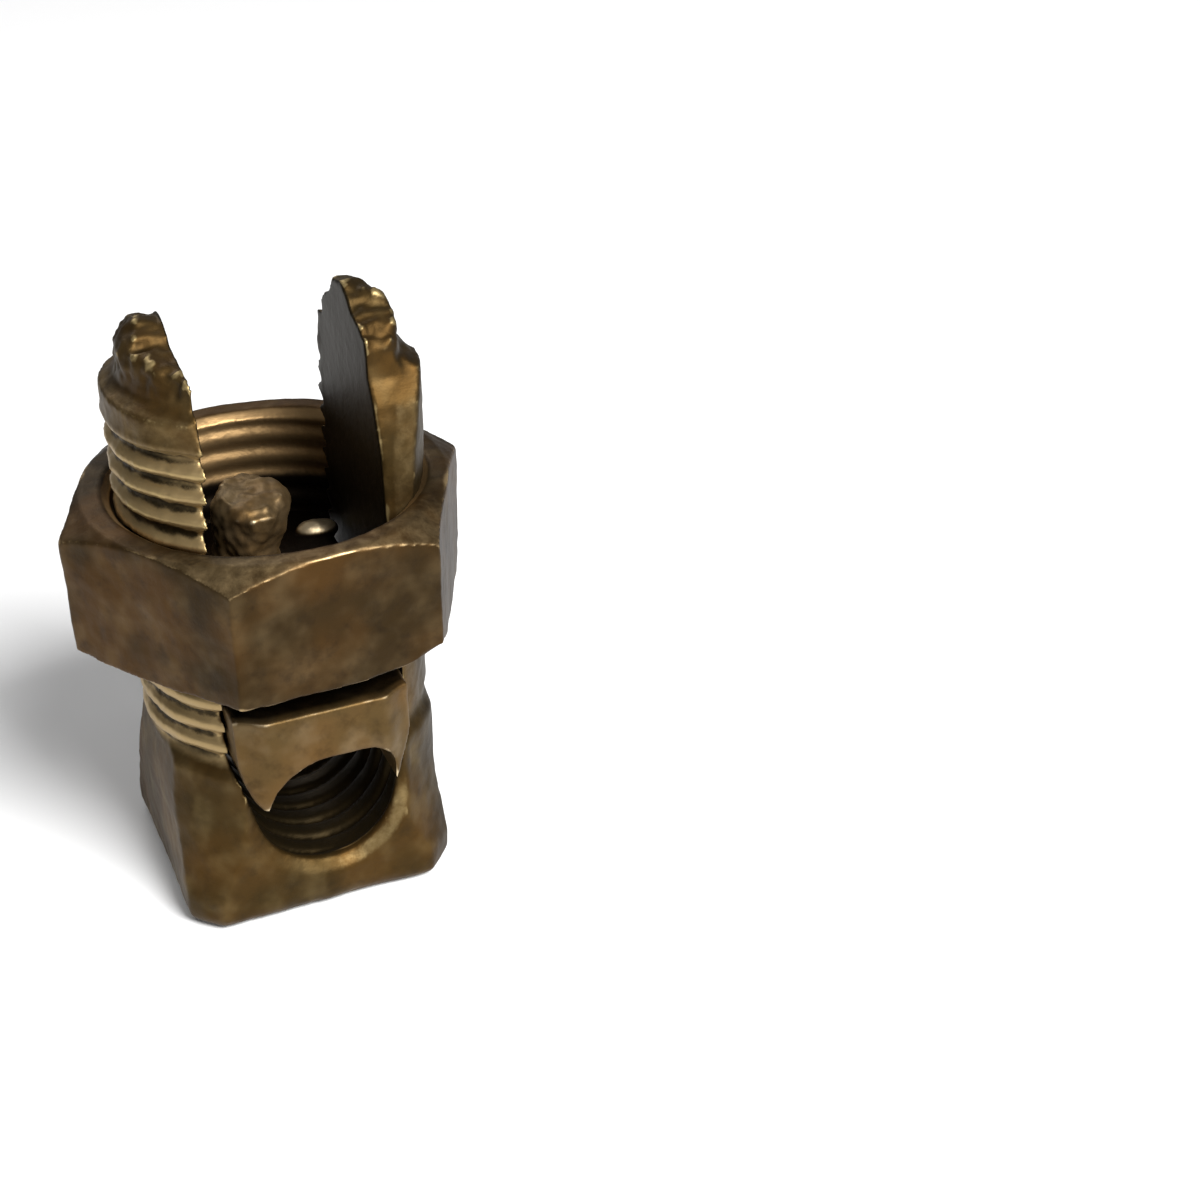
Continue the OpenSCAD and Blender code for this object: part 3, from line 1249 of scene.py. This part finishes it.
@dataclass
class HexNut:
    """The hexagon nut: sand cast, chamfered on both faces, with a thread.

    Values are in millimetres, apart from the turn and the share.

    Attributes:
        across: Width across the flats.
        thick: Height of the nut.
        low: Height of its lower face.
        turned: How far it is turned about Z, in degrees.
        shift: How far it stands off the axis along X.
        chamfer: Height of the upper chamfer at the corners.
        foot_share: The lower chamfer as a share of the upper one.
        thread: The thread in its bore.
        mouth: Depth of the countersink at both mouths.
        broken: How far the worst corner of the lower face is broken off.
        voxel: Size of the skin's faces.
        skin: The cast skin.
    """

    across: float = 21.65
    thick: float = 8.7
    low: float = 17.35
    turned: float = 5.2
    shift: float = -0.12
    chamfer: float = 1.1
    foot_share: float = 0.3
    thread: ScrewThread = field(
        default_factory=lambda: ScrewThread(crest=9.1, root=8.85, pitch=1.5)
    )
    mouth: float = 0.6
    broken: float = 1.2
    voxel: float = 0.15
    skin: CastSkin = CastSkin(0.12, 3.2, 0.03, 0.75, 21.4)

    def blank(self) -> Piece:
        """Makes the hexagon with chamfered corners.

        Returns:
            The hexagon.
        """
        corner = self.across / math.sqrt(3)
        deselect()
        bpy.ops.mesh.primitive_cylinder_add(
            vertices=6,
            radius=corner * MM,
            depth=self.thick * MM,
            location=(0, 0, (self.low + self.thick / 2) * MM),
        )
        blank = bpy.context.object
        settle(blank)
        turn(blank, 30 + self.turned, "Z", (0, 0, 0))
        r0 = self.across / 2 - 0.15
        r1 = corner + 1
        rise = self.chamfer * (r1 - r0) / (corner - r0)
        top = self.low + self.thick
        dome = lathe(
            "dome",
            [
                (0.0, self.low),
                (r0, self.low),
                (r1, self.low + self.foot_share * rise),
                (r1, top - rise),
                (r0, top),
                (0.0, top),
            ],
        )
        nut = combine(blank, dome, Cut.KEEP)
        points = points_of(nut)
        points[:, 0] += self.shift
        move_points(nut, points)
        return nut

    def build(self) -> Piece:
        """Builds the whole nut, skinned and marked for its finish.

        Returns:
            The nut.
        """
        nut = self.blank()
        top = self.low + self.thick
        combine(nut, self.thread.rod("tap", self.low - 2, top + 2), Cut.AWAY)
        m = self.mouth
        for foot, r_low, r_high in (
            (self.low - 1, self.thread.crest + 1 + m, self.thread.root),
            (top - m - 0.1, self.thread.root, self.thread.crest + 1 + m),
        ):
            mouth = lathe(
                "mouth",
                [(0, foot), (r_low, foot), (r_high, foot + 1.1 + m), (0, foot + 1.1 + m)],
            )
            combine(nut, mouth, Cut.AWAY)
        nut.name = nut.data.name = "hex_nut_body"
        skin(nut, self.voxel, 2)
        points = points_of(nut)
        x, y, z = points.T
        azimuth = np.degrees(np.arctan2(y, x)) - self.turned
        broken = 1 - ramp(np.abs(azimuth), 6.0, 19.0)
        broken += 0.6 * (1 - ramp(np.abs(azimuth + 60), 5.0, 16.0))
        broken *= ramp(np.hypot(x, y), 10.9, 12.4) * (1 - ramp(z - self.low, 0.0, 4.0))
        points[:, 2] += self.broken * broken
        move_points(nut, points)
        x, y, z = points_of(nut).T
        bore = 1 - ramp(np.hypot(x, y), 9.3, 9.7)
        self.skin.press(nut, 1 - 0.6 * bore)
        fine = ridge_depth(nut, 7)
        wide = ridge_depth(nut, 16)
        # Painted shade: the bore is darkened below its upper part and kept from wear there.
        bore_shade = bore * (1 - ramp(z, top - 5.0, top - 3.6))
        front = 1 - ramp(y, -9.0, -4.0)
        chamfer = ramp(normals_of(nut)[:, 2], 0.25, 0.7) * ramp(np.hypot(x, y), 9.5, 9.9)
        wear_and_highlight = ramp(fine, 0.025, 0.09) + 0.6 * ramp(wide, 0.08, 0.3)
        # The top chamfer is lightened all round as wear, and more towards the front as a painted
        # highlight.
        wear_and_highlight += (0.12 + 0.22 * front) * chamfer
        paint(nut, "wear_and_highlight", np.clip(wear_and_highlight, 0, 1) * (1 - 0.9 * bore_shade))
        pits = 0.7 * ramp(-fine, 0.015, 0.06) * (1 - 0.6 * bore)
        # Painted shade: the faces turned towards +X are darkened.
        painted_shade_and_tone = 0.6 * ramp(normals_of(nut)[:, 0], 0.75, 0.97)
        paint(nut, "hollow", np.maximum.reduce([pits, painted_shade_and_tone, 0.95 * bore_shade]))
        paint(nut, "cut", 0.9 * bore)
        return nut


# ---------------------------------------------------------------- studio


@dataclass(frozen=True)
class Studio:
    """Plain pale floor, soft lamps and the camera.

    Attributes:
        floor_side: Length of the floor's side in metres.
        floor_white: Brightness of the floor.
        soft_light: Strength of the light from all round.
        eye: Place of the camera in millimetres.
        heading: How far the camera looks off the front, in degrees.
        tilt: How far it looks down, in degrees.
        roll: How far it is rolled, in degrees.
        lens: Its focal length on a sensor 36 mm wide, in millimetres.
    """

    floor_side: float = 0.6
    floor_white: float = 0.88
    soft_light: float = 0.18
    eye: Point = (-24.8, -103.0, 79.9)
    heading: float = -24.28
    tilt: float = 30.93
    roll: float = 0.15
    lens: float = 59.4

    def floor(self) -> None:
        """Lays a wide pale floor that runs into the white background."""
        deselect()
        bpy.ops.mesh.primitive_plane_add(size=self.floor_side, location=(0, 0, 0))
        sheet = bpy.context.object
        sheet.name = sheet.data.name = "floor"
        paper = bpy.data.materials.new("paper")
        paper.use_nodes = True
        shader = paper.node_tree.nodes["Principled BSDF"]
        w = self.floor_white
        shader.inputs["Base Color"].default_value = (w, w, w, 1)
        shader.inputs["Roughness"].default_value = 0.9
        sheet.data.materials.append(paper)

    def sky(self) -> None:
        """Fills the world with plain soft light, white to the camera."""
        world = bpy.data.worlds.new("studio")
        bpy.context.scene.world = world
        world.use_nodes = True
        nodes, links = world.node_tree.nodes, world.node_tree.links
        soft, plain = nodes["Background"], nodes.new("ShaderNodeBackground")
        for light, strength in ((soft, self.soft_light), (plain, 1.0)):
            light.inputs["Color"].default_value = (1, 1, 1, 1)
            light.inputs["Strength"].default_value = strength
        path = nodes.new("ShaderNodeLightPath")
        mix = nodes.new("ShaderNodeMixShader")
        links.new(path.outputs["Is Camera Ray"], mix.inputs[0])
        links.new(soft.outputs[0], mix.inputs[1])
        links.new(plain.outputs[0], mix.inputs[2])
        links.new(mix.outputs[0], nodes["World Output"].inputs["Surface"])

    def lamp(self, name: str, place: Point, size: float, power: float) -> None:
        """Adds a square soft lamp that faces the object.

        Args:
            name: The lamp's name.
            place: Where it stands, in metres.
            size: The length of its side in metres.
            power: Its power in watts.
        """
        light = bpy.data.lights.new(name, "AREA")
        light.size = size
        light.energy = power
        body = bpy.data.objects.new(name, light)
        bpy.context.scene.collection.objects.link(body)
        body.location = place
        aim = Vector((0, 0, 0.02)) - Vector(place)
        body.rotation_euler = aim.to_track_quat("-Z", "Y").to_euler()

    def camera(self) -> None:
        """Places the camera in front of the connector, to its left and above it."""
        heading, tilt, roll = (math.radians(a) for a in (self.heading, self.tilt, self.roll))
        level = math.cos(tilt)
        back = Vector((math.sin(heading) * level, -math.cos(heading) * level, math.sin(tilt)))
        right = Vector((math.cos(heading), math.sin(heading), 0))
        up = back.cross(right)
        across = right * math.cos(roll) + up * math.sin(roll)
        above = up * math.cos(roll) - right * math.sin(roll)
        lens = bpy.data.cameras.new("camera")
        lens.sensor_width = 36
        lens.lens = self.lens
        lens.clip_start = 0.005
        body = bpy.data.objects.new("camera", lens)
        bpy.context.scene.collection.objects.link(body)
        turned = Matrix((across, above, back)).transposed().to_4x4()
        body.matrix_world = Matrix.Translation(Vector(self.eye) * MM) @ turned
        bpy.context.scene.camera = body

    def set_up(self) -> None:
        """Builds the whole studio."""
        self.floor()
        self.sky()
        self.lamp("key", (0.15, -0.37, 0.42), 0.26, 6.3)
        self.lamp("fill", (-0.42, -0.25, 0.30), 0.15, 0.2)
        self.lamp("back", (-0.05, 0.45, 0.40), 0.3, 0.9)
        self.camera()
        bpy.context.scene.view_settings.view_transform = "Standard"


def main() -> None:
    """Builds the three castings and the studio."""
    logging.basicConfig(level=logging.INFO, format="%(name)s: %(message)s")
    # Each finish's dirt_and_shade colour paints both dirt and painted shade; the tan finish's worn
    # colour also paints the highlight on the riser.
    aged = Bronze(
        "aged_bronze",
        patina=(0.046, 0.028, 0.0085),
        warm=(0.072, 0.038, 0.0100),
        worn=(0.42, 0.31, 0.14),
        dirt_and_shade=(0.020, 0.014, 0.006),
        machined=(0.35, 0.25, 0.118),
    )
    tan = Bronze(
        "tan_bronze",
        patina=(0.096, 0.060, 0.022),
        warm=(0.130, 0.072, 0.024),
        worn=(0.58, 0.46, 0.29),
        dirt_and_shade=(0.006, 0.0035, 0.0018),
        machined=(0.25, 0.18, 0.10),
    )
    dark = Bronze(
        "dark_bronze",
        patina=(0.034, 0.0205, 0.0075),
        warm=(0.066, 0.033, 0.0095),
        worn=(0.34, 0.24, 0.12),
        dirt_and_shade=(0.012, 0.008, 0.005),
        machined=(0.30, 0.19, 0.085),
    )
    for builder, finish, node, body, slot in (
        (SplitBolt(), aged, "split_bolt", "bolt", "bolt_bronze"),
        (PressureBar(), tan, "pressure_bar", "bar", "bar_bronze"),
        (HexNut(), dark, "hex_nut", "nut", "nut_bronze"),
    ):
        piece = builder.build()
        dress(piece, finish.material())
        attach(piece, body)
        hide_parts(node)
        faces = len(piece.data.polygons)
        LOG.info("%s: %d faces", piece.name, faces)
    Studio().set_up()


if __name__ == "__main__":
    main()
